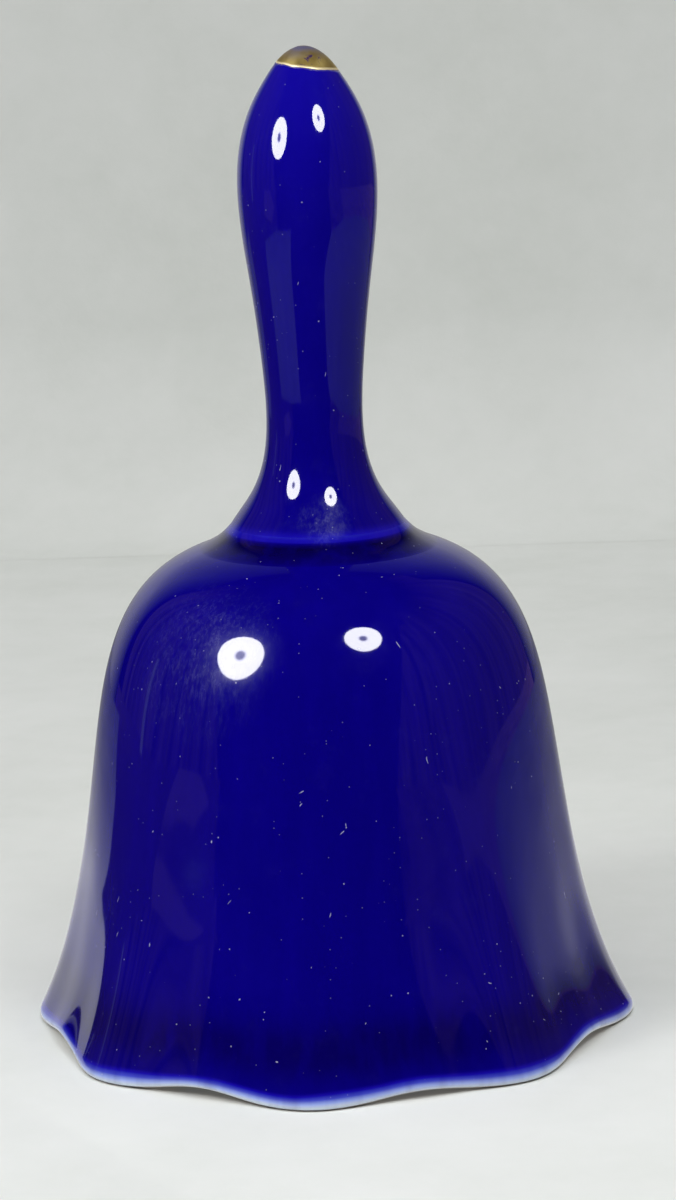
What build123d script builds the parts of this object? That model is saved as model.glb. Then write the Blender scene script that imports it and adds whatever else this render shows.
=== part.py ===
"""Hand bell of glazed porcelain: a scalloped bell on a slim cast handle, with a clapper hung inside.

Millimetres. The origin is the centre of the ring that the bell stands on, and +Z runs up the bell's axis.
"""

import os
from math import cos, exp, pi, radians, sin

from build123d import *

# Bell: the outline over the lobes is a slightly tapered wall, a flare at the rim and a rounded crown
rim_radius = 40.0  # of the outline carried down to the table, before the rim is rounded
rim_round = 0.85  # taken off the wall's inside and outside at the table
rim_round_height = 0.9
flare = 6.85  # how far the rim stands out from the tapered wall
flare_length = 14.9  # the height over which the flare fades
wall_taper = 0.089  # radius lost for each millimetre of height
crown_height = 65.1  # where the crown's curve would close
crown_power = 8
crown_root = 0.35
bell_wall = 2.6
crown_wall = 3.1

# Scallops of the skirt
lobes = 8
scallop_depth = 2.2  # from a lobe to a valley, at the rim
scallop_height = 46.0  # where the valleys have faded out
lobe_narrowing = 0.1  # makes the lobes a little narrower than the valleys
notch_lift = 1.2  # how far the rim rises off the table between two lobes
notch_width = 17.0

# Handle
seat_height = 64.4  # the flat on the crown that takes the handle
seam_thickness = 0.35
foot_land = 11.4  # radius of the foot's flat underside
foot_radius = 12.0
seam_middle = 13.3  # halfway down the seam's fillet
seam_middle_height = 64.5
seam_rim = 15.3  # where the fillet ends on the crown
seam_rim_height = 63.55
handle_wall = 2.6
bell_height = 127.5

# Gold tip
gilt_thickness = 0.4  # at the point, thinner down its sides
gilt_edge = 125.0  # height of its lower edge, on the axis
gilt_tilt = 8.0  # degrees, lower towards +X

# Hanger
crown_hole_radius = 4.5
plug_flange_radius = 6.6
plug_head_radius = 6.9
plug_flange = 1.3
plug_head = 2.6
eye_wire = 0.5  # radius
eye_half_width = 2.0
eye_height = 55.5  # the centre of the staple's lowest wire, on which the ring swings

# Clapper
link_wire = 0.45  # radius, of the ring and of the clapper's wire
loop_radius = 1.6
link_gap = 0.05
wrap_turns = 3
wrap_pitch = 0.85  # a little under the wire's width, so that the turns press together
bead_radius = 6.5
bead_flat = 6.2  # from the bead's centre to the flats at its bore
bead_height = 15.0  # the bead's centre
bore_gap = 0.05
bead_play = 0.1
washer_radius = 2.0
washer_thickness = 0.5
rivet_radius = 1.0
rivet_height = 0.7
collar_radius = 1.0
collar_length = 2.0

# Heights and radii that follow
inner_crown = seat_height - crown_wall
ring_top = eye_height + eye_wire + link_wire + link_gap
ring_centre = ring_top - loop_radius
ring_bottom = ring_centre - loop_radius
loop_centre = ring_bottom + 2 * link_wire + link_gap - loop_radius
loop_bottom = loop_centre - loop_radius
washer_top = bead_height - bead_flat - bead_play
washer_bottom = washer_top - washer_thickness
foot_height = seat_height + seam_thickness


def outline_radius(height, close):
    """Radius over the lobes at a height, for a crown whose curve would close at the height close."""
    wall = rim_radius - flare - wall_taper * height + flare * exp(-height / flare_length)
    return wall * (1 - (height / close) ** crown_power) ** crown_root


def valley(height):
    """Depth of the valleys between the lobes at a height."""
    return scallop_depth * max(0.0, 1 - height / scallop_height) ** 1.5


def scalloped_ring(height, close, inset):
    """Closed ring of points round the bell, inset from its outside, eight to a lobe."""
    count = 8 * lobes
    points = []
    for step in range(count):
        angle = 2 * pi * step / count
        share = (1 - cos(lobes * angle)) / 2 + lobe_narrowing * (1 - cos(2 * lobes * angle))
        radius = outline_radius(height, close) - inset - valley(height) * share
        points.append((radius * cos(angle), radius * sin(angle)))
    return points


def rim_rounding(height):
    """How much the rounded rim takes off either side of the wall at a height."""
    return rim_round * max(0.0, 1 - height / rim_round_height) ** 2


# Bell: outside and inside lofted through scalloped rings
outer_levels = [0, 0.9, 2.2, 4.5, 9, 15, 22, 30, 38, 46, 52, 57, 60.5, 62.6, 63.8, seat_height]
inner_close = crown_height - crown_wall
inner_levels = [0, 0.9, 2.2, 4.5, 9, 15, 22, 30, 38, 44, 50, 54.5, 57.5, 59.5, 60.7, inner_crown]

with BuildPart() as bell_dome:
    for level in outer_levels:
        with BuildSketch(Plane.XY.offset(level)):
            with BuildLine():
                Spline(*scalloped_ring(level, crown_height, rim_rounding(level)), periodic=True)
            make_face()
    loft()
    for level in inner_levels:
        with BuildSketch(Plane.XY.offset(level)):
            with BuildLine():
                Spline(*scalloped_ring(level, inner_close, bell_wall - rim_rounding(level)), periodic=True)
            make_face()
    loft(mode=Mode.SUBTRACT)
    Cylinder(crown_hole_radius, 3 * seat_height, mode=Mode.SUBTRACT)
    # the rim lifts off the table in an arch under each valley
    arch_radius = (notch_width**2 / 4 + notch_lift**2) / (2 * notch_lift)
    with Locations((0, 0, notch_lift - arch_radius)):
        with PolarLocations(rim_radius, lobes, start_angle=180 / lobes):
            Cylinder(arch_radius, rim_radius / 2, rotation=(0, 90, 0), mode=Mode.SUBTRACT)

# Handle: hollow, with its rounded foot on the seam
handle_outside = [
    (foot_radius, foot_height + 0.75),
    (9.55, 69.1),
    (7.2, 73.4),
    (6.25, 79.5),
    (6.55, 87),
    (7.65, 97),
    (8.85, 107),
    (8.7, 113.8),
    (7.1, 119.7),
    (4.65, 124),
    (2.5, 126.5),
    (0, bell_height),
]
handle_inside = [
    (8.6, foot_height),
    (6.0, 71.5),
    (3.7, 79.5),
    (4.6, 92),
    (6.3, 107),
    (5.4, 116),
    (0, bell_height - 2 * handle_wall),
]


def handle_solid(drop):
    """Turned solid of the handle's outside, lowered by drop."""
    stations = [(radius, height - drop) for radius, height in handle_outside]
    with BuildPart() as solid:
        with BuildSketch(Plane.XZ):
            with BuildLine():
                side = Spline(*stations, tangents=[(-0.5, 0.86), (-1, 0)])
                Polyline(side @ 1, (0, foot_height - drop), (foot_land, foot_height - drop))
                ThreePointArc((foot_land, foot_height - drop), (11.84, foot_height + 0.25 - drop), side @ 0)
            make_face()
        revolve(axis=Axis.Z)
    return solid.part


handle_outer = handle_solid(0)
handle_lowered = handle_solid(gilt_thickness)

with BuildPart() as gilt_tip:
    add(handle_outer)
    add(handle_lowered, mode=Mode.SUBTRACT)
    tilt = radians(gilt_tilt)
    split(bisect_by=Plane(origin=(0, 0, gilt_edge), z_dir=(sin(tilt), 0, cos(tilt))), keep=Keep.TOP)

with BuildPart() as handle:
    add(handle_outer)
    with BuildSketch(Plane.XZ):
        with BuildLine():
            cavity = Spline(*handle_inside, tangents=[(-0.35, 1), (-1, 0)])
            Polyline(cavity @ 1, (0, foot_height), cavity @ 0)
        make_face()
    revolve(axis=Axis.Z, mode=Mode.SUBTRACT)
    add(gilt_tip.part, mode=Mode.SUBTRACT)

# Seam of slip between the crown and the handle's foot
# and a fillet of it round the foot
with BuildPart() as slip_seam:
    with BuildSketch(Plane.XZ):
        with BuildLine():
            fillet_top = foot_height + 0.5
            fillet_side = Spline(
                (foot_radius, fillet_top), (seam_middle, seam_middle_height), (seam_rim, seam_rim_height)
            )
            bore = handle_inside[0][0]
            Polyline(
                fillet_side @ 1,
                (seam_rim, seam_rim_height - 2),
                (bore, seam_rim_height - 2),
                (bore, foot_height),
                (foot_land - 0.5, foot_height),
                (foot_land - 0.5, fillet_top),
                fillet_side @ 0,
            )
        make_face()
    revolve(axis=Axis.Z)
    add(bell_dome.part, mode=Mode.SUBTRACT)
    add(handle.part, mode=Mode.SUBTRACT)

# Hanger: a wire staple set in a plaster plug that fills the hole of the crown
with BuildPart() as hanger_eye:
    leg_top = seat_height + plug_head - 1
    bend = eye_height + eye_half_width
    with BuildLine(Plane.XZ) as staple:
        Line((-eye_half_width, leg_top), (-eye_half_width, bend))
        ThreePointArc((-eye_half_width, bend), (0, eye_height), (eye_half_width, bend))
        Line((eye_half_width, bend), (eye_half_width, leg_top))
    with BuildSketch(Plane(origin=(-eye_half_width, 0, leg_top), z_dir=(0, 0, -1))):
        Circle(eye_wire)
    sweep(path=staple.line)

with BuildPart() as hanger_plug:
    flange_bottom = inner_crown - plug_flange
    with BuildSketch(Plane.XZ):
        with BuildLine():
            rounded = plug_flange_radius - 2
            Polyline((0, flange_bottom), (rounded, flange_bottom))
            ThreePointArc(
                (rounded, flange_bottom), (rounded + 1.5, flange_bottom + 0.45), (plug_flange_radius, inner_crown)
            )
            Polyline(
                (plug_flange_radius, inner_crown),
                (crown_hole_radius, inner_crown),
                (crown_hole_radius, seat_height),
                (plug_head_radius, seat_height),
                (plug_head_radius - 0.8, seat_height + plug_head),
                (0, seat_height + plug_head),
                (0, flange_bottom),
            )
        make_face()
    revolve(axis=Axis.Z)
    add(hanger_eye.part, mode=Mode.SUBTRACT)

# Ring on the staple
with BuildPart() as hanger_ring:
    with Locations((0, 0, ring_centre)):
        Torus(loop_radius, link_wire, rotation=(0, 90, 0))

# Clapper: wire with a closed, wrapped loop above and a riveted head below
with BuildPart() as clapper_wire:
    with Locations((0, 0, loop_centre)):
        Torus(loop_radius, link_wire, rotation=(90, 0, 0))
    with BuildSketch(Plane.XY.offset(washer_bottom)):
        Circle(link_wire)
    extrude(amount=loop_bottom - washer_bottom)
    for turn in range(wrap_turns):
        with Locations((0, 0, loop_bottom - link_wire - turn * wrap_pitch)):
            Torus(wrap_pitch, link_wire)
    with Locations((0, 0, washer_bottom - rivet_height / 2)):
        Cylinder(rivet_radius, rivet_height)
    fillet(clapper_wire.faces().sort_by(Axis.Z)[0].edges(), rivet_height / 2)

with BuildPart() as clapper_bead:
    with Locations((0, 0, bead_height)):
        Sphere(bead_radius)
        Box(2 * bead_radius, 2 * bead_radius, 2 * bead_flat, mode=Mode.INTERSECT)
        Cylinder(link_wire + bore_gap, 2 * bead_radius, mode=Mode.SUBTRACT)

with BuildPart() as bead_washer:
    with BuildSketch(Plane.XY.offset(washer_bottom)):
        Circle(washer_radius)
        Circle(link_wire, mode=Mode.SUBTRACT)
    extrude(amount=washer_thickness)

with BuildPart() as bead_collar:
    with BuildSketch(Plane.XY.offset(bead_height + bead_flat + 3 * bead_play)):
        Circle(collar_radius)
        Circle(link_wire, mode=Mode.SUBTRACT)
    extrude(amount=collar_length)
    fillet(bead_collar.edges().filter_by(GeomType.CIRCLE).group_by(SortBy.RADIUS)[-1], 0.2)

# One file for each piece, named after it
pieces = {
    "bell_dome": bell_dome,
    "handle": handle,
    "slip_seam": slip_seam,
    "gilt_tip": gilt_tip,
    "hanger_plug": hanger_plug,
    "hanger_eye": hanger_eye,
    "hanger_ring": hanger_ring,
    "clapper_wire": clapper_wire,
    "clapper_bead": clapper_bead,
    "bead_washer": bead_washer,
    "bead_collar": bead_collar,
}

os.makedirs("parts", exist_ok=True)
for name, piece in pieces.items():
    piece.part.label = name
    export_step(piece.part, f"parts/{name}.step")
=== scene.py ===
"""Looks of the glazed porcelain hand bell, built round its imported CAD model.

The frame is the CAD model's, in metres: the bell stands on the origin and +Z runs up its axis.
The bell's outline and the places of the stage are written in millimetres, and MM turns them into metres.
"""

import math

import bpy
import numpy as np
from mathutils import Matrix, Vector


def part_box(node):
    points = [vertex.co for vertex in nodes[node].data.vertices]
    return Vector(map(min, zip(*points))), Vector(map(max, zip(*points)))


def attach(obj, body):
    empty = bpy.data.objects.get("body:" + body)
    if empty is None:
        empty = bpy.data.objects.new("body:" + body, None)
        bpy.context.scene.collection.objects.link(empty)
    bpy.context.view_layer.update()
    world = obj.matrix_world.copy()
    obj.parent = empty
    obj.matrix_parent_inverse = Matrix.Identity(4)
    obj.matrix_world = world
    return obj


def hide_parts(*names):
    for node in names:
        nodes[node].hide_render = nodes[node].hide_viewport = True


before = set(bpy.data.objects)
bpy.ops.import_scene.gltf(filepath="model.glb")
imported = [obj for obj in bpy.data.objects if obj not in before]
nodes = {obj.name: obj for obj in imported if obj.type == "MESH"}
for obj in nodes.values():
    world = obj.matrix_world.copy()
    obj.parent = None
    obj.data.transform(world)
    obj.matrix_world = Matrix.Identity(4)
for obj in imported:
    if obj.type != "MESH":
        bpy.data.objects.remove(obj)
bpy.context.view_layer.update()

MM = 0.001
random_draws = np.random.default_rng(7)

# Outline of the bell, in millimetres, as the CAD model has it
rim_radius = 40.0
rim_round_height = 1.5
flare = 6.85
flare_length = 14.9
wall_taper = 0.089
crown_height = 65.1
crown_power = 8
crown_root = 0.35
bell_wall = 2.6
crown_wall = 3.1
hole_radius = 4.5
lobes = 8
scallop_depth = 2.2
scallop_height = 46.0
lobe_narrowing = 0.1
notch_lift = 1.25
notch_fade = 12.0  # height over which the lift of the notches fades

# Where firing has warped the rim: angle round +Z and half width in degrees, then the change of radius and
# the change of the notch's lift
warps = [(0, 26, 0.55, 0.0), (-62, 30, 0.12, -0.38)]
warp_height = 18.0  # where the warp has faded out

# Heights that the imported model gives
seat_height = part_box("bell_dome")[1].z / MM
foot_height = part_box("handle")[0].z / MM
bell_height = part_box("gilt_tip")[1].z / MM
crown_inside = seat_height - crown_wall

# Handle's outside and inside as radius and height, from the foot up
handle_outside = [
    (12.0, 65.5),
    (10.37, 67.8),
    (8.68, 70.2),
    (7.2, 73.4),
    (6.25, 79.5),
    (6.55, 87),
    (7.65, 97),
    (8.85, 107),
    (8.7, 113.8),
    (7.1, 119.7),
    (4.65, 124),
    (2.5, 126.5),
    (0, bell_height),
]
handle_inside = [(8.6, foot_height), (6.0, 71.5), (3.7, 79.5), (4.6, 92), (6.3, 107), (5.4, 116), (0, 122.3)]
foot_radius = 11.4
lip_radius = 12.1

# The painted edge of the gold
gilt_edge = 124.95
gilt_edge_radius = 4.4
gilt_tilt = math.radians(8)  # lower towards +X
gilt_film = 0.05
gilt_proud = 0.012  # how far the gold stands out of the glaze

# The glaze: where it starts above the rim's edge, how high it runs thin, and where it pools low on the skirt
glaze_start = 0.42
glaze_thin_height = 2.0
pool_height = 6.5
pool_spread = 3.6
pool_depth = 0.34

# Rows and columns of the meshes
bell_columns = 320
inside_rows = 66
outside_rows = 130
rim_rows = 24
turned_columns = 192
handle_inside_rows = 40
handle_outside_rows = 150
gilt_rows = 26
fine_steps = 3000

# Camera and lamps: turned with the camera round the bell, x to its right and y away from it
camera_turn = math.radians(4.65)
camera_distance = 434.5
camera_height = 143.7
camera_side = 2.3
camera_pitch = math.radians(11.42)
camera_roll = math.radians(1.75)
camera_lens = 101.9

# Radiances against white of the lamps, as they light and as they show, and of the broad light over the table
lamp_light = 10
lamp_shine = 22
fill_light = 1.28

# Tints of what the glaze reflects: the white paper, and the warmer room round it
white_tone = (1, 1, 1, 1)
room_tone = (1, 0.6, 1, 1)

# The visible stage, in millimetres from the bell's axis
floor_reach = 1500
card_away = 395
card_bend = 60
card_slope = math.radians(78)
card_top = 420
card_half_width = 190

# Distances in millimetres of what only reflections see
wall_distance = 1600
strip_distance = 900
glow_card_away = 384
glow_card_half_width = 383
glow_card_middle = -37
glow_card_top = 640
glow_card_fade = 180
paper_level = 0.3
table_level = 0.2


# ---------------------------------------------------------------- shapes


def smooth_curve(points, first_slope, last_slope, count):
    """Points along the cubic spline through the given ones, with its two end directions given."""
    points = np.array(points, float)
    chord = np.linalg.norm(np.diff(points, axis=0), axis=1)
    knots = np.concatenate([[0], np.cumsum(chord)])
    size = len(points)
    system = np.zeros((size, size))
    right = np.zeros((size, 2))
    system[0, 0] = 1
    system[-1, -1] = 1
    right[0] = np.array(first_slope) / np.linalg.norm(first_slope)
    right[-1] = np.array(last_slope) / np.linalg.norm(last_slope)
    for i in range(1, size - 1):
        before, after = chord[i - 1], chord[i]
        system[i, i - 1 : i + 2] = after, 2 * (before + after), before
        step_before = (points[i] - points[i - 1]) / before
        step_after = (points[i + 1] - points[i]) / after
        right[i] = 3 * (after * step_before + before * step_after)
    slopes = np.linalg.solve(system, right)
    where = np.linspace(0, knots[-1], count)
    piece = np.clip(np.searchsorted(knots, where, side="right") - 1, 0, size - 2)
    width = chord[piece][:, None]
    t = (where - knots[piece])[:, None] / width
    start, end = points[piece], points[piece + 1]
    leave, arrive = slopes[piece] * width, slopes[piece + 1] * width
    return (
        (2 * t**3 - 3 * t**2 + 1) * start
        + (t**3 - 2 * t**2 + t) * leave
        + (3 * t**2 - 2 * t**3) * end
        + (t**3 - t**2) * arrive
    )


def spaced(points, count, closeness=None):
    """The same line as count points, evenly spaced, or closer where the function closeness is higher."""
    points = np.array(points, float)
    steps = np.linalg.norm(np.diff(points, axis=0), axis=1)
    if closeness is not None:
        middles = (points[1:] + points[:-1]) / 2
        steps = steps * np.array([closeness(p) for p in middles])
    run = np.concatenate([[0], np.cumsum(steps)])
    where = np.linspace(0, run[-1], count)
    return np.stack([np.interp(where, run, points[:, k]) for k in range(points.shape[1])], axis=1)


def skin(name, rings, loop=False, **attributes):
    """Closed smooth mesh through rings of points in millimetres, given as an array (rings, columns, 3).

    With loop, the last ring joins the first. Without it, each end closes on a point at its own centre.
    Each attribute is an array (rings, columns).
    """
    count, columns = rings.shape[:2]
    points = rings.reshape(-1, 3) * MM
    faces = []
    around = np.arange(columns)
    beside = (around + 1) % columns
    for row in range(count if loop else count - 1):
        low, high = row * columns, (row + 1) % count * columns
        faces += np.stack([low + around, low + beside, high + beside, high + around], axis=1).tolist()
    values = {key: np.asarray(value, float).ravel() for key, value in attributes.items()}
    if not loop:
        for row in (0, count - 1):
            first = row * columns
            centre = len(points)
            points = np.vstack([points, points[first : first + columns].mean(axis=0)])
            for key in values:
                values[key] = np.append(values[key], values[key][first : first + columns].mean())
            fan = np.stack([first + around, first + beside, np.full(columns, centre)], axis=1)
            faces += (fan if row else fan[:, ::-1]).tolist()
    mesh = bpy.data.meshes.new(name)
    mesh.from_pydata(points.tolist(), [], faces)
    for key, value in values.items():
        mesh.attributes.new(key, "FLOAT", "POINT").data.foreach_set("value", value.astype(np.float32))
    mesh.shade_smooth()
    mesh.update()
    piece = bpy.data.objects.new(name, mesh)
    bpy.context.scene.collection.objects.link(piece)
    face_outwards(mesh)
    return piece


def face_outwards(mesh):
    """Turns every face over if the closed mesh is inside out."""
    corners = np.zeros(len(mesh.vertices) * 3)
    mesh.vertices.foreach_get("co", corners)
    corners = corners.reshape(-1, 3)
    mesh.calc_loop_triangles()
    triangles = np.zeros(len(mesh.loop_triangles) * 3, int)
    mesh.loop_triangles.foreach_get("vertices", triangles)
    a, b, c = (corners[triangles.reshape(-1, 3)[:, k]] for k in range(3))
    if np.einsum("ij,ij->i", a, np.cross(b, c)).sum() < 0:
        mesh.flip_normals()


def angles_round(columns):
    """Evenly spaced angles round the axis."""
    return 2 * math.pi * np.arange(columns) / columns


def ringed(rows, angles):
    """Rings of points round the axis, from rows of radius and height at each angle."""
    radius, height = rows[:, :, 0], rows[:, :, 1]
    return np.stack([radius * np.cos(angles), radius * np.sin(angles), height], axis=2)


def all_round(values, columns):
    """The same values at every column."""
    return np.repeat(np.array(values, float)[:, None], columns, axis=1)


def wobble(angles, waves, low=2):
    """A smooth uneven value round the bell, about 0 and within about 1, for hand-made edges."""
    total = np.zeros_like(angles)
    for wave in range(low, low + waves):
        total += np.sin(wave * angles + random_draws.uniform(0, 2 * math.pi)) / math.sqrt(wave)
    return total / np.abs(total).max()


# ---------------------------------------------------------------- bell


def outline_radius(height, close):
    """Radius over the lobes at a height, for a crown whose curve closes at the height close."""
    wall = rim_radius - flare - wall_taper * height + flare * np.exp(-height / flare_length)
    return wall * np.clip(1 - (height / close) ** crown_power, 0, None) ** crown_root


def crown_level(radius):
    """Height of the crown's outside at a radius."""
    heights = np.linspace(seat_height, 30, fine_steps)
    return float(np.interp(radius, outline_radius(heights, crown_height), heights))


def fading(height, top, power):
    """1 at the table, falling to 0 at the height top."""
    return np.clip(1 - height / top, 0, None) ** power


def near_rim(point):
    """How much closer the rows lie near the rim."""
    return 1 + 5 * math.exp(-point[1] / 2.5)


def bell_section():
    """The wall's cut outline: rows of radius and height, up the inside, round the rim and up the outside.

    The second array is 0 on the inside, 1 on the outside and between them round the rim.
    """
    inner_close = crown_height - crown_wall
    heights = np.linspace(rim_round_height, crown_inside, fine_steps)
    inside = np.stack([outline_radius(heights, inner_close) - bell_wall, heights], axis=1)
    heights = np.linspace(rim_round_height, seat_height, fine_steps)
    outside = np.stack([outline_radius(heights, crown_height), heights], axis=1)
    turn = np.linspace(0, math.pi, rim_rows)
    middle = bell_wall / 2
    bottom = rim_round_height * (1 - np.sin(turn))
    rim = np.stack([outline_radius(bottom, crown_height) - middle - middle * np.cos(turn), bottom], axis=1)
    inside = spaced(inside, inside_rows, near_rim)
    outside = spaced(outside, outside_rows, near_rim)
    hole_top = [(hole_radius, seat_height)]
    hole_bottom = [(hole_radius, crown_inside)]
    section = np.vstack([hole_bottom, inside[::-1], rim[1:-1], outside, hole_top])
    round_rim = np.linspace(0, 1, rim_rows)[1:-1]
    side = np.concatenate([np.zeros(1 + inside_rows), round_rim, np.ones(outside_rows + 1)])
    return section, side


def bell_shell():
    """The scalloped porcelain shell, with the depth of its glaze as an attribute."""
    section, side = bell_section()
    angles = angles_round(bell_columns)
    share = (1 - np.cos(lobes * angles)) / 2 + lobe_narrowing * (1 - np.cos(2 * lobes * angles))
    lift = notch_lift * ((1 - np.cos(lobes * angles)) / 2) ** 2
    radius, height = section[:, :1], section[:, 1:]
    kept = fading(height, warp_height, 1.5)
    for angle, half_width, wider, higher in warps:
        away = (np.degrees(angles) - angle + 180) % 360 - 180
        near = np.cos(np.clip(away / half_width, -1, 1) * math.pi / 2) ** 2
        radius = radius + wider * near * kept
        lift = lift + higher * near * lift / notch_lift
    radius = radius - scallop_depth * fading(height, scallop_height, 1.5) * share
    lifted = height + lift * fading(height, notch_fade, 2)
    rings = ringed(np.stack([radius, lifted], axis=2), angles)
    # the glaze has run off the rim: bare below an uneven line, thin above it, and pooled over that
    run_line = glaze_start + 0.16 * wobble(angles, 22, 5)
    run_height = glaze_thin_height + 0.35 * wobble(angles, 18, 3)
    pooled = pool_depth * np.exp(-(((height - pool_height) / pool_spread) ** 2))
    glaze = np.clip((height - run_line) / run_height, 0, 1) * (1 + pooled)
    glaze = np.where(side[:, None] >= 0.5, glaze, 0)
    return skin("porcelain_bell", rings, loop=True, glaze=glaze, inside=all_round(1 - side, bell_columns))


def handle_curve():
    """The handle's outside, from its rounded foot to the tip."""
    turn = np.linspace(0, 1, 40)[:, None]
    lip_end = np.array([handle_outside[0]])
    lip = np.array([[foot_radius, foot_height]]) * (1 - turn) ** 2
    lip = lip + 2 * turn * (1 - turn) * np.array([[lip_radius, foot_height]]) + turn**2 * lip_end
    side = smooth_curve(handle_outside, (-0.6, 0.8), (-1, 0), fine_steps // 2)
    return np.vstack([lip[:-1], side])


def gilt_line(angles):
    """Height of the hand-painted edge of the gold round the tip."""
    level = gilt_edge - math.tan(gilt_tilt) * gilt_edge_radius * np.cos(angles)
    return level + 0.07 * wobble(angles, 7, 2) + 0.02 * wobble(angles, 20, 9)


def split_at_gilt(angles):
    """The handle's outside below and above the gold's edge, as rows of radius and height at each angle."""
    curve = handle_curve()
    run = np.concatenate([[0], np.cumsum(np.linalg.norm(np.diff(curve, axis=0), axis=1))])
    below = np.zeros((handle_outside_rows, len(angles), 2))
    above = np.zeros((gilt_rows, len(angles), 2))
    for column, edge in enumerate(gilt_line(angles)):
        stop = np.interp(edge, curve[:, 1], run)
        to_edge = np.linspace(0, 1, handle_outside_rows) * stop
        to_tip = stop + np.linspace(0, 1, gilt_rows) * (run[-1] - stop)
        for axis in (0, 1):
            below[:, column, axis] = np.interp(to_edge, run, curve[:, axis])
            above[:, column, axis] = np.interp(to_tip, run, curve[:, axis])
    return below, above


def handle_and_gilt():
    """The hollow handle and the film of gold let into its tip, both built from the same painted edge."""
    angles = angles_round(turned_columns)
    below, above = split_at_gilt(angles)
    hollow = spaced(smooth_curve(handle_inside, (-0.35, 1), (-1, 0), 400), handle_inside_rows)
    hollow = np.repeat(hollow[:, None, :], turned_columns, axis=1)
    let_in = above.copy()
    let_in[:, :, 0] = np.maximum(let_in[:, :, 0] - gilt_film, 0)
    let_in[:, :, 1] -= gilt_film
    film = above.copy()
    film[:, :, 0] += gilt_proud * np.clip(film[:, :, 0] / 4, 0, 1)
    film[:, :, 1] += gilt_proud

    handle_rows = np.concatenate([hollow[::-1][1:], below, let_in[:-1]])
    height = handle_rows[:, :, 1]
    # glaze runs thin over the lip of the foot; the lighter blue towards the tip is painted light, for the
    # lamps being nearer the tip
    lip = np.exp(-(((height - 66.1) / 0.75) ** 2))
    top = np.clip((height - 88) / 36, 0, 1) ** 1.5
    glaze = 1 - 0.28 * lip - 0.13 * top
    handle = skin("porcelain_handle", ringed(handle_rows, angles), glaze=glaze, inside=np.zeros_like(height))

    film_rows = np.concatenate([let_in[:-1][::-1] + [0, 0.004], film[:-1]])
    # the edge rows mark the gold's thicker painted edge, which the gold material also lightens as a painted
    # highlight
    edge = np.zeros(len(film_rows))
    edge[gilt_rows - 1 : gilt_rows + 2] = (1.0, 0.8, 0.0)
    gilt = skin("fired_gold", ringed(film_rows, angles), edge=all_round(edge, turned_columns))
    return handle, gilt


def seam_ring():
    """The slip between the crown and the foot, with its fillet of pooled glaze round the foot, darkest in
    the crease as painted shade.
    """
    stations = [(11.15, 66.62), (12.05, 65.66), (13.2, 64.66), (14.5, 63.9), (15.9, 63.2)]
    fillet = smooth_curve(stations, (0.66, -0.75), (1, -0.42), 48)
    crown = [(radius, crown_level(radius) - 0.05) for radius in (12.6, 14, 15.4)]
    outline = [(8.6, foot_height), (8.6, seat_height - 0.02), (11.2, seat_height - 0.02)]
    outline = np.array(outline + crown + fillet[::-1].tolist() + [(11.3, foot_height)])
    # the glaze pools deepest in the crease under the lip, and its darkness there is also painted shade of
    # the crease
    glaze = np.interp(outline[:, 0], [11.3, 11.9, 12.6, 13.6, 15.9], [0.72, 0.78, 1.8, 1.6, 1.0])
    rows = np.repeat(outline[:, None, :], turned_columns, axis=1)
    rings = ringed(rows, angles_round(turned_columns))
    depth = all_round(glaze, turned_columns)
    return skin("pooled_seam", rings, loop=True, glaze=depth, inside=np.zeros_like(depth))


# ---------------------------------------------------------------- materials


def link(tree, value, socket):
    """Sets a socket to a number or a colour, or links it to another node's output."""
    if isinstance(value, bpy.types.NodeSocket):
        tree.links.new(value, socket)
    else:
        socket.default_value = value


def add(tree, kind, inputs, output=0, **settings):
    """Adds a node, sets it up and returns one of its outputs."""
    made = tree.nodes.new(kind)
    for key, value in settings.items():
        setattr(made, key, value)
    for key, value in inputs.items():
        link(tree, value, made.inputs[key])
    return made.outputs[output]


def maths(tree, operation, *values):
    return add(tree, "ShaderNodeMath", dict(enumerate(values)), operation=operation)


def vector_maths(tree, operation, *values, output="Vector"):
    return add(tree, "ShaderNodeVectorMath", dict(enumerate(values)), output=output, operation=operation)


def own_place(tree):
    """A point's place in its object's own coordinates."""
    return add(tree, "ShaderNodeTexCoord", {}, output="Object")


def attribute(tree, name):
    """A value that the mesh carries at each point."""
    return add(tree, "ShaderNodeAttribute", {}, output="Fac", attribute_name=name)


def product(tree, *values):
    return maths(tree, "MULTIPLY", *values)


def larger(tree, *values):
    return maths(tree, "MAXIMUM", *values)


def span(tree, value, low, high, to_low=0.0, to_high=1.0):
    """Maps low..high onto to_low..to_high, and holds the ends."""
    return add(tree, "ShaderNodeMapRange", {0: value, 1: low, 2: high, 3: to_low, 4: to_high}, clamp=True)


def blend_colour(tree, share, first, second, way="MIX"):
    """Mixes two colours by a share."""
    made = tree.nodes.new("ShaderNodeMix")
    made.data_type = "RGBA"
    made.blend_type = way
    link(tree, share, made.inputs[0])
    link(tree, first, made.inputs[6])
    link(tree, second, made.inputs[7])
    return made.outputs[2]


def stretched(tree, scale, turn=(0, 0, 0)):
    """The object's own coordinates, scaled by a different amount along each axis."""
    mapped = {"Vector": own_place(tree), "Scale": scale, "Rotation": turn}
    return add(tree, "ShaderNodeMapping", mapped)


def noise(tree, where, scale, detail=3.0, rough=0.5, distortion=0.0):
    settings = {"Scale": scale, "Detail": detail, "Roughness": rough, "Distortion": distortion}
    return add(tree, "ShaderNodeTexNoise", {"Vector": where, **settings})


def ramp(tree, value, stops):
    """A colour ramp from (place, colour) stops."""
    made = tree.nodes.new("ShaderNodeValToRGB")
    link(tree, value, made.inputs[0])
    steps = made.color_ramp.elements
    while len(steps) < len(stops):
        steps.new(0.5)
    for step, (place, colour) in zip(steps, stops):
        step.position = place
        step.color = colour
    return made.outputs[0]


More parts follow.
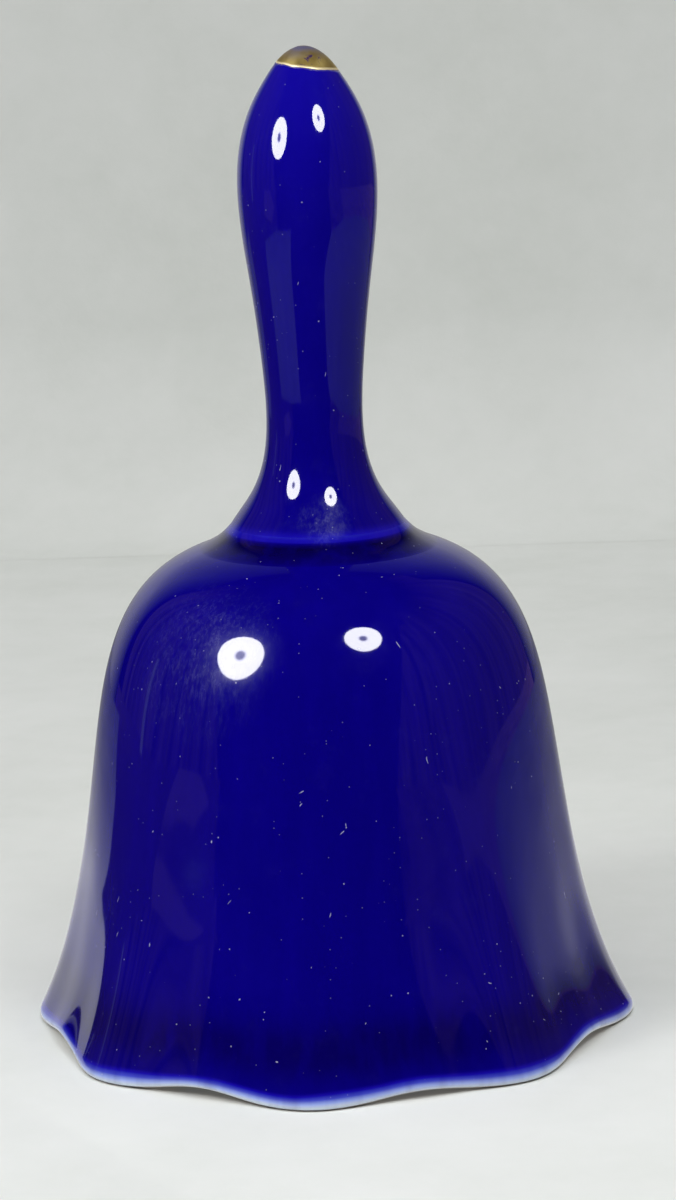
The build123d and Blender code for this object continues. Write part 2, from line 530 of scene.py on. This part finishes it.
def specks(tree, where, scale, size, kept):
    """Scattered round specks: 1 inside one, 0 outside. kept is the share of the cells that hold one."""
    cells = tree.nodes.new("ShaderNodeTexVoronoi")
    link(tree, where, cells.inputs["Vector"])
    cells.inputs["Scale"].default_value = scale
    chosen = add(tree, "ShaderNodeSeparateColor", {0: cells.outputs["Color"]})
    near = span(tree, cells.outputs["Distance"], size * 0.6, size, 1.0, 0.0)
    return product(tree, near, maths(tree, "LESS_THAN", chosen, kept))


def hairs(tree, turn, scale, width, kept):
    """Scattered short hairs that lie along one direction and bend a little."""
    own = own_place(tree)
    sway = add(tree, "ShaderNodeTexNoise", {"Vector": own, "Scale": 420.0, "Detail": 1.0}, output="Color")
    sway = vector_maths(tree, "MULTIPLY", sway, (0.0018, 0.0018, 0.0))
    bent = vector_maths(tree, "ADD", own, sway)
    mapped = {"Vector": bent, "Scale": (1, 1, 7), "Rotation": turn}
    along = add(tree, "ShaderNodeMapping", mapped, vector_type="TEXTURE")
    return specks(tree, along, scale, width, kept)


def patch(tree, centre, size):
    """1 at a point of the object, fading to 0 at the distance size."""
    away = vector_maths(tree, "DISTANCE", own_place(tree), centre, output="Value")
    return span(tree, away, 0.0, size, 1.0, 0.0)


def new_material(name):
    """An empty material with its Principled shader: (material, tree, shader)."""
    material = bpy.data.materials.new(name)
    material.use_nodes = True
    tree = material.node_tree
    return material, tree, tree.nodes["Principled BSDF"]


def bump(tree, shader, height, strength, distance):
    inputs = {"Height": height, "Strength": strength, "Distance": distance}
    link(tree, add(tree, "ShaderNodeBump", inputs), shader.inputs["Normal"])


# Colour of the glaze by half its depth: white porcelain shows through where it is thin
cobalt_depths = [
    (0.0, (0.56, 0.65, 0.80, 1)),
    (0.12, (0.26, 0.36, 0.82, 1)),
    (0.25, (0.055, 0.07, 0.52, 1)),
    (0.38, (0.008, 0.004, 0.36, 1)),
    (0.5, (0.0021, 0.0001, 0.178, 1)),
    (0.65, (0.0018, 0.0001, 0.095, 1)),
    (1.0, (0.0008, 0.0001, 0.022, 1)),
]


def glaze_material(name, scuffs_and_glare):
    """Cobalt glaze over white porcelain. The attribute glaze is its depth: 0 bare, 1 full, 2 pooled.

    Scuffs are (centre, size, strength) of places with fine scratches, set on the lamp highlights; their
    whitish haze is partly painted glare.
    """
    material, tree, shader = new_material(name)
    depth = attribute(tree, "glaze")
    inner = attribute(tree, "inside")
    clouds = noise(tree, stretched(tree, (1, 1, 0.45)), 70, 4)
    streaks = noise(tree, stretched(tree, (1, 1, 0.06)), 420, 3)
    uneven = product(tree, maths(tree, "SUBTRACT", clouds, 0.5), 0.16)
    depth = maths(tree, "ADD", depth, uneven)
    cobalt = ramp(tree, product(tree, depth, 0.5), cobalt_depths)
    cobalt = blend_colour(tree, span(tree, streaks, 0.45, 0.72, 0.0, 0.30), cobalt, (0.003, 0.0002, 0.23, 1))
    white = blend_colour(tree, span(tree, clouds, 0.4, 0.7), (0.72, 0.74, 0.76, 1), (0.80, 0.81, 0.81, 1))
    colour = blend_colour(tree, inner, cobalt, white)
    # the ground foot under the rim, bare and stained, and painted dark brown as the contact shadow under the
    # rim as well
    foot = product(tree, span(tree, inner, 0.31, 0.36), span(tree, inner, 0.76, 0.84, 1.0, 0.0))
    clay_and_contact_shadow = blend_colour(tree, span(tree, streaks, 0.4, 0.6), (0.10, 0.07, 0.045, 1), (0.26, 0.19, 0.13, 1))
    colour = blend_colour(tree, foot, colour, clay_and_contact_shadow)

    own = stretched(tree, (1, 1, 1))
    outside = maths(tree, "SUBTRACT", 1.0, inner)
    dirt = dust_and_hairs(tree, own, outside)
    scratches = noise(tree, stretched(tree, (1, 1, 0.22)), 1900, 3, 0.7, 0.3)
    smear = noise(tree, own, 260, 4, 0.65)
    film = span(tree, smear, 0.45, 0.8, 0.0, 0.04)
    haze_and_glare = span(tree, smear, 0.6, 0.8, 0.0, 0.004)
    # the scuffs' whitish haze in the colour is fine scratches, and also painted glare round the lamp
    # highlights they sit on
    for centre, size, strength in scuffs_and_glare:
        worn = product(tree, patch(tree, centre, size), span(tree, smear, 0.30, 0.62))
        film = maths(tree, "ADD", film, product(tree, worn, 0.7))
        worn = product(tree, worn, span(tree, scratches, 0.42, 0.72))
        haze_and_glare = maths(tree, "ADD", haze_and_glare, product(tree, worn, strength))
    # dust and hairs, and the scuffs' haze with its painted glare, turn the colour a pale lilac grey and make
    # it rougher
    dust_and_glare = larger(tree, dirt, product(tree, haze_and_glare, outside))
    colour = blend_colour(tree, dust_and_glare, colour, (0.46, 0.46, 0.66, 1))
    link(tree, colour, shader.inputs["Base Color"])
    rough = maths(tree, "ADD", span(tree, smear, 0.3, 0.8, 0.03, 0.06), product(tree, dust_and_glare, 0.6))
    link(tree, rough, shader.inputs["Roughness"])
    shader.inputs["IOR"].default_value = 1.5
    link(tree, film, shader.inputs["Coat Weight"])
    link(tree, span(tree, scratches, 0.3, 0.7, 0.18, 0.32), shader.inputs["Coat Roughness"])
    shader.inputs["Coat IOR"].default_value = 1.4
    ripples = noise(tree, own, 190, 2, 0.4)
    pits = product(tree, specks(tree, own, 800, 0.10, 0.04), -0.35)
    bump(tree, shader, maths(tree, "ADD", product(tree, ripples, 0.5), pits), 0.25, 0.00004)
    return material


def dust_and_hairs(tree, own, outside):
    """Dust in two sizes and short hairs in three directions, on the outside only."""
    dust = product(tree, specks(tree, own, 700, 0.085, 0.07), 0.8)
    fine_dust = product(tree, specks(tree, own, 1500, 0.14, 0.10), 0.4)
    dirt = larger(tree, dust, fine_dust)
    for turn, kept in (((0.1, 0, 0), 0.10), ((0, 0.9, 0.4), 0.06), ((0.8, 0.2, 0), 0.06)):
        dirt = larger(tree, dirt, hairs(tree, turn, 900, 0.09, kept))
    return product(tree, dirt, product(tree, outside, 0.55))


def gold_material():
    """Fired gold: thick at its edge with a painted highlight along it, a painted grey-blue reflection at the
    tip, and rubbed through to the cobalt in spots.
    """
    material, tree, shader = new_material("fired_gold")
    own = stretched(tree, (1, 1, 1))
    clouds = noise(tree, own, 420, 4)
    edge = attribute(tree, "edge")
    # the grey-blue at the tip is a painted reflection, not a tint of the gold
    tip = span(tree, patch(tree, (0, 0, bell_height * MM), 0.0042), 0.1, 0.7)
    tip_reflection = product(tree, tip, span(tree, clouds, 0.3, 0.6))
    worn = span(tree, noise(tree, own, 620, 3, 0.6, 0.4), 0.58, 0.66)
    worn = product(tree, worn, maths(tree, "SUBTRACT", 1.0, edge))
    gold = blend_colour(tree, span(tree, clouds, 0.3, 0.7), (0.36, 0.25, 0.06, 1), (0.60, 0.47, 0.16, 1))
    gold = blend_colour(tree, tip_reflection, gold, (0.24, 0.23, 0.40, 1))
    # the bright line along the edge is a painted highlight on the gold's thicker edge
    gold = blend_colour(tree, edge, gold, (0.95, 0.82, 0.50, 1))
    link(tree, blend_colour(tree, worn, gold, (0.03, 0.008, 0.08, 1)), shader.inputs["Base Color"])
    bare = larger(tree, worn, product(tree, edge, 0.6))
    link(tree, span(tree, bare, 0.0, 1.0, 0.72, 0.1), shader.inputs["Metallic"])
    link(tree, span(tree, clouds, 0.3, 0.7, 0.34, 0.5), shader.inputs["Roughness"])
    bump(tree, shader, noise(tree, stretched(tree, (1, 1, 0.3)), 2200, 3), 0.3, 0.00003)
    return material


def brass_material():
    """Drawn brass wire, slightly tarnished."""
    material, tree, shader = new_material("brass_wire")
    clouds = noise(tree, stretched(tree, (1, 1, 1)), 700, 4)
    brass = blend_colour(tree, span(tree, clouds, 0.35, 0.65), (0.42, 0.27, 0.09, 1), (0.78, 0.57, 0.26, 1))
    link(tree, brass, shader.inputs["Base Color"])
    shader.inputs["Metallic"].default_value = 1.0
    link(tree, span(tree, clouds, 0.3, 0.7, 0.22, 0.42), shader.inputs["Roughness"])
    bump(tree, shader, noise(tree, stretched(tree, (4, 4, 0.2)), 3000, 2), 0.3, 0.00002)
    return material


def plaster_material():
    """Matt cast plaster with fine pores."""
    material, tree, shader = new_material("plaster")
    own = stretched(tree, (1, 1, 1))
    clouds = noise(tree, own, 300, 5)
    pores = specks(tree, own, 1800, 0.25, 0.3)
    pale = blend_colour(tree, clouds, (0.66, 0.63, 0.56, 1), (0.84, 0.82, 0.77, 1))
    pitted = blend_colour(tree, product(tree, pores, 0.5), pale, (0.4, 0.37, 0.32, 1))
    link(tree, pitted, shader.inputs["Base Color"])
    link(tree, span(tree, clouds, 0.3, 0.7, 0.75, 0.92), shader.inputs["Roughness"])
    bump(tree, shader, maths(tree, "SUBTRACT", clouds, pores), 0.6, 0.0001)
    return material


def bead_material():
    """White glaze with a few iron specks."""
    material, tree, shader = new_material("bead_glaze")
    own = stretched(tree, (1, 1, 1))
    clouds = noise(tree, own, 260, 4)
    white = blend_colour(tree, clouds, (0.70, 0.70, 0.68, 1), (0.83, 0.84, 0.86, 1))
    iron = specks(tree, own, 900, 0.09, 0.05)
    link(tree, blend_colour(tree, iron, white, (0.16, 0.1, 0.06, 1)), shader.inputs["Base Color"])
    link(tree, span(tree, clouds, 0.3, 0.7, 0.08, 0.16), shader.inputs["Roughness"])
    bump(tree, shader, noise(tree, own, 400, 2), 0.2, 0.00005)
    return material


def paper_material():
    """Pale matt paper, slightly mottled and crumpled."""
    material, tree, shader = new_material("pale_paper")
    own = stretched(tree, (1, 1, 1))
    mottle = noise(tree, own, 14, 5, 0.6)
    fine = noise(tree, own, 160, 4, 0.6)
    clouds = span(tree, mottle, 0.35, 0.65)
    paper = blend_colour(tree, clouds, (0.745, 0.77, 0.735, 1), (0.825, 0.845, 0.82, 1))
    paper = blend_colour(tree, span(tree, fine, 0.35, 0.7, 0.0, 0.2), paper, (0.86, 0.87, 0.85, 1))
    link(tree, paper, shader.inputs["Base Color"])
    shader.inputs["Roughness"].default_value = 0.75
    creases = maths(tree, "ADD", mottle, product(tree, fine, 0.15))
    bump(tree, shader, creases, 0.35, 0.002)
    return material


# ---------------------------------------------------------------- stage


def from_camera(right, away, up):
    """A place given in millimetres as the camera sees it, turned into the frame."""
    turned_place = Matrix.Rotation(camera_turn, 3, "Z") @ Vector((right, away, up))
    return turned_place * MM


def glowing(name):
    """An empty material for a surround that only shows in reflections."""
    material = bpy.data.materials.new(name)
    material.use_nodes = True
    material.node_tree.nodes.clear()
    return material, material.node_tree


def shine(material, strength, tone=white_tone):
    """Ends a material in a glow of the given strength, which lights nothing by itself."""
    material.cycles.emission_sampling = "NONE"
    tree = material.node_tree
    glow = add(tree, "ShaderNodeEmission", {"Color": tone, "Strength": strength})
    end = tree.nodes.new("ShaderNodeOutputMaterial")
    tree.links.new(glow, end.inputs["Surface"])
    return material


def light_levels(tree, value, levels):
    """Brightness from (millimetres, brightness) levels, for a distance in metres."""
    reach = levels[-1][0]
    stops = [(level / reach, (light, light, light, 1)) for level, light in levels]
    return ramp(tree, span(tree, value, 0.0, reach * MM), stops)


def height_above_table(tree):
    return add(tree, "ShaderNodeSeparateXYZ", {0: own_place(tree)}, output="Z")


def wall_glow(name, low, high, folds):
    """A wall's brightness in reflections: uneven in upright folds, and fading out high up."""
    material, tree = glowing(name)
    uneven = noise(tree, stretched(tree, (1, 1, 0.02)), folds, 3, 0.6)
    fade = span(tree, height_above_table(tree), 1.4, 2.7, 1.0, 0.1)
    return shine(material, product(tree, span(tree, uneven, 0.38, 0.62, low, high), fade), room_tone)


def table_glow(name, levels, tone=white_tone):
    """The table's brightness in reflections: levels are (millimetres from the bell's axis, brightness)."""
    material, tree = glowing(name)
    own = stretched(tree, (1, 1, 0))
    away = vector_maths(tree, "LENGTH", own, output="Value")
    mottle = span(tree, noise(tree, own, 22, 3), 0.3, 0.7, 0.88, 1.12)
    return shine(material, product(tree, light_levels(tree, away, levels), mottle), tone)


def backdrop_glow(levels):
    """The backdrop in reflections: levels are (height in millimetres, brightness). Its sides fade out."""
    material, tree = glowing("backdrop_glow")
    light = light_levels(tree, height_above_table(tree), levels)
    middle = from_camera(glow_card_middle, glow_card_away, 0)
    across = (math.cos(camera_turn), math.sin(camera_turn), 0)
    side = vector_maths(tree, "SUBTRACT", own_place(tree), middle)
    side = vector_maths(tree, "DOT_PRODUCT", side, across, output="Value")
    full = (glow_card_half_width - glow_card_fade) * MM
    near = span(tree, maths(tree, "ABSOLUTE", side), full, glow_card_half_width * MM, 1.0, 0.0)
    return shine(material, product(tree, light, near))


def sighted(azimuth, height_angle, distance):
    """A place sighted from the middle of the bell. Azimuths rise from the camera's side to its right."""
    angle = math.radians(azimuth)
    up = 50 + distance * math.tan(math.radians(height_angle))
    return from_camera(distance * math.sin(angle), -distance * math.cos(angle), up)


def plain_mesh(name, points, faces, material):
    """An object of the stage from points and faces."""
    mesh = bpy.data.meshes.new(name)
    mesh.from_pydata(points, [], faces)
    mesh.materials.append(material)
    made = bpy.data.objects.new(name, mesh)
    bpy.context.scene.collection.objects.link(made)
    return made


def strip_faces(count):
    """Four-sided faces between count pairs of points."""
    return [(2 * step, 2 * step + 1, 2 * step + 3, 2 * step + 2) for step in range(count - 1)]


def only_reflected(name, points, faces, glow):
    made = plain_mesh(name, points, faces, glow)
    made.visible_camera = False
    made.visible_diffuse = False
    made.visible_shadow = False


def wall(name, columns, distance, glow):
    """A far wall seen only in reflections, from columns of (azimuth, height angle) below and above."""
    points = [sighted(*end, distance) for column in columns for end in column]
    only_reflected(name, points, strip_faces(len(columns)), glow)


def table_sheet(name, level, corners, glow):
    """A flat sheet just over the table, seen only in reflections. Its corners are turned with the camera."""
    points = [from_camera(x, y, level) for x, y in corners]
    only_reflected(name, points, [tuple(range(len(points)))], glow)


def floor_and_backdrop():
    """A wide round floor, and a narrow card that curves up out of it behind the bell."""
    card = [(card_away - card_bend, 0)]
    for step in range(1, 13):
        turn = card_slope * step / 12
        card.append((card_away - card_bend + card_bend * math.sin(turn), card_bend * (1 - math.cos(turn))))
    card.append((card[-1][0] + 20, card_top))
    sides = (-card_half_width, card_half_width)
    backdrop = [from_camera(right, away, up - 0.02) for away, up in card for right in sides]
    turns = angles_round(96)
    edge = [(floor_reach * math.cos(turn), floor_reach * math.sin(turn)) for turn in turns]
    floor = [from_camera(x, y, -0.05) for x, y in edge]
    paper = paper_material()
    for name, points, faces in (
        ("floor", floor, [tuple(range(len(floor)))]),
        ("backdrop", backdrop, strip_faces(len(card))),
    ):
        made = plain_mesh(name, points, faces, paper)
        made.data.shade_smooth()
        made.visible_glossy = False  # the sheets of light stand in for it in reflections


def lamp(name, place, target, size, radiance, shown):
    """A round lamp, of a size in millimetres and a radiance against white.

    It either lights the scene, or with shown it only shows in reflections, and has a dark centre.
    """
    light = bpy.data.lights.new(name, "AREA")
    light.shape = "DISK"
    light.size = size * MM
    area = math.pi * (size * MM / 2) ** 2
    light.energy = math.pi * area * radiance
    made = bpy.data.objects.new(name, light)
    made.location = place
    made.rotation_mode = "QUATERNION"
    made.rotation_quaternion = (target - place).to_track_quat("-Z", "Y")
    made.visible_camera = False
    made.visible_glossy = shown
    made.visible_diffuse = not shown
    bpy.context.scene.collection.objects.link(made)
    if shown:
        light.use_nodes = True
        tree = light.node_tree
        where = add(tree, "ShaderNodeNewGeometry", {}, output="Parametric")
        out = vector_maths(tree, "DISTANCE", where, (0.5, 0.5, 0), output="Value")
        link(tree, span(tree, out, 0.08, 0.14, 0.12, 1.0), tree.nodes["Emission"].inputs["Strength"])


def lamps():
    """Two round lamps in front of the bell, and a broad light over the table."""
    middle = Vector((0, 0, 0.05))
    for side, place, size in (("left", (-190, -164, 216), 128), ("right", (98, -177, 265), 92)):
        place = from_camera(*place)
        lamp("shine_" + side, place, middle, size, lamp_shine, True)
        lamp("lamp_" + side, place, middle, size, lamp_light, False)
    lamp("fill", from_camera(0, -1120, 4000), from_camera(0, 200, 80), 8000, fill_light, False)


def surroundings():
    """The world: pale to the camera, and a dark room in reflections."""
    world = bpy.data.worlds.new("room")
    bpy.context.scene.world = world
    world.use_nodes = True
    tree = world.node_tree
    tree.nodes.clear()
    seen = add(tree, "ShaderNodeLightPath", {}, output="Is Camera Ray")
    pale = add(tree, "ShaderNodeBackground", {"Color": (0.575, 0.60, 0.58, 1), "Strength": 1.0})
    dim = add(tree, "ShaderNodeBackground", {"Color": room_tone, "Strength": 0.006})
    mixed = add(tree, "ShaderNodeMixShader", {0: seen, 1: dim, 2: pale})
    end = tree.nodes.new("ShaderNodeOutputWorld")
    tree.links.new(mixed, end.inputs["Surface"])


def reflected_room():
    """The room: two walls with a dark gap in front whose sides lean outwards, a bright upright strip at
    the left, and the card behind the bell.
    """
    right = [((54, -4), (76, 60)), ((75, -4), (90, 60)), ((100, -4), (105, 60))]
    right += [((125, -4), (125, 60)), ((150, -4), (150, 60))]
    wall("wall_right", right, wall_distance, wall_glow("wall_right", 0.055, 0.125, 9))
    shade = [((34, -4), (62, 50)), ((44, -4), (69, 50)), ((54, -4), (76, 50))]
    wall("wall_right_shade", shade, wall_distance, wall_glow("wall_right_shade", 0.03, 0.13, 14))
    left = [((-53, -4), (-76, 60)), ((-75, -4), (-90, 60)), ((-98, -4), (-102, 60))]
    left += [((-128, -4), (-142, 60))]
    wall("wall_left", left, wall_distance, wall_glow("wall_left", 0.03, 0.13, 9))
    strip = [((-101.5, -5), (-101.5, 15)), ((-103.5, -5), (-103.5, 15))]
    wall("strip_left", strip, strip_distance, table_glow("strip", [(0, 0.3), (3000, 0.3)]))

    levels = [(0, 0.3), (50, 0.42), (110, 0.5), (170, 0.5), (200, 0.4), (260, 0.27), (340, 0.17)]
    levels += [(450, 0.09), (glow_card_top, 0.03)]
    ends = (glow_card_middle - glow_card_half_width, glow_card_middle + glow_card_half_width)
    card = [from_camera(x, glow_card_away, z) for x in ends for z in (0, glow_card_top)]
    only_reflected("backdrop_back", card, strip_faces(2), backdrop_glow(levels))


def reflected_table():
    """The table: paper under the bell, with its edges where the glaze shows them, and dimmer sheets round
    it.
    """
    levels = [(0, 0.85), (112, 0.8), (130, 0.56), (150, 0.42), (200, 0.27), (260, 0.21), (450, 0.16)]
    levels += [(1000, 0.11)]
    front = [(-40, -30), (75, -210), (230, -280), (420, -230), (540, -60)]
    right_and_behind = [(560, 70), (536, 273), (464, 354), (400, 384), (-400, 384)]
    left = [(-480, 340), (-199, 122), (-108, 70)]
    paper = front + right_and_behind + left
    table_sheet("paper_sheet", paper_level, paper, table_glow("paper_glow", levels))

    right = [(420, -230), (2200, -1600), (2200, 1000), (300, 1000), (300, 200)]
    table_sheet("table_right", table_level, right, wall_glow("floor_right", 0.13, 0.21, 12))
    shade = [(230, -280), (1070, -1600), (2200, -1600), (420, -230)]
    table_sheet("table_right_shade", table_level, shade, wall_glow("floor_shade", 0.05, 0.13, 14))

    left = [(-90, -60), (-1600, -1250), (-1600, 1000), (-300, 1000), (-90, 90)]
    dim = table_glow("table_dim", [(0, 0.03), (300, 0.05), (600, 0.07), (1600, 0.07)], room_tone)
    table_sheet("table_left", table_level, left, dim)
    near_left = [(-140, -190), (-190, -330), (-330, -230), (-385, -60), (-250, 0), (-160, -60)]
    near_glow = table_glow("left_near", [(0, 0.25), (300, 0.22), (400, 0.16)])
    table_sheet("table_left_near", paper_level, near_left, near_glow)
    far_left = [(-545, -122), (-410, -207), (-545, -357), (-1500, -760), (-1600, -450)]
    far_glow = table_glow("left_far", [(0, 0.2), (1600, 0.18)], room_tone)
    table_sheet("table_left_far", paper_level, far_left, far_glow)


def set_camera():
    data = bpy.data.cameras.new("camera")
    data.lens = camera_lens
    made = bpy.data.objects.new("camera", data)
    bpy.context.scene.collection.objects.link(made)
    bpy.context.scene.camera = made
    ahead = Vector((0, math.cos(camera_pitch), -math.sin(camera_pitch)))
    up = Vector((0, math.sin(camera_pitch), math.cos(camera_pitch)))
    right = Vector((1, 0, 0))
    leaned_right = right * math.cos(camera_roll) - up * math.sin(camera_roll)
    leaned_up = right * math.sin(camera_roll) + up * math.cos(camera_roll)
    facing = Matrix((leaned_right, leaned_up, -ahead)).transposed()
    turn = Matrix.Rotation(camera_turn, 3, "Z") @ facing
    place = from_camera(camera_side, -camera_distance, camera_height)
    made.matrix_world = Matrix.Translation(place) @ turn.to_4x4()


# ---------------------------------------------------------------- the bell put together


def give(piece, material, body=None, replaced=()):
    """Gives a piece its material, the body it rides on and the CAD nodes it stands for."""
    piece.data.materials.clear()
    piece.data.materials.append(material)
    if body:
        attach(piece, body)
    if replaced:
        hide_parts(*replaced)


def build_bell():
    # the scuffs sit on the lamp highlights of the shoulder and the foot, where their haze is partly painted
    # glare
    shoulder_highlight = from_camera(-16, -22, 54)
    foot = from_camera(1, -11, 69)
    glaze = glaze_material("cobalt_glaze", [(shoulder_highlight, 0.012, 0.05), (foot, 0.0042, 0.12)])
    give(bell_shell(), glaze, "bell", ["bell_dome"])
    handle, gilt = handle_and_gilt()
    give(handle, glaze, "bell", ["handle"])
    give(gilt, gold_material(), "bell", ["gilt_tip"])
    give(seam_ring(), glaze, "bell", ["slip_seam"])
    brass = brass_material()
    for name, material, slot_name in (
        ("hanger_plug", plaster_material(), "plaster"),
        ("hanger_eye", brass, "brass_wire"),
        ("hanger_ring", brass, "brass_wire"),
        ("clapper_wire", brass, "brass_wire"),
        ("clapper_bead", bead_material(), "bead_glaze"),
        ("bead_washer", brass, "brass_wire"),
        ("bead_collar", brass, "brass_wire"),
    ):
        give(nodes[name], material)


build_bell()
floor_and_backdrop()
surroundings()
lamps()
reflected_room()
reflected_table()
set_camera()
bpy.context.scene.view_settings.view_transform = "Standard"
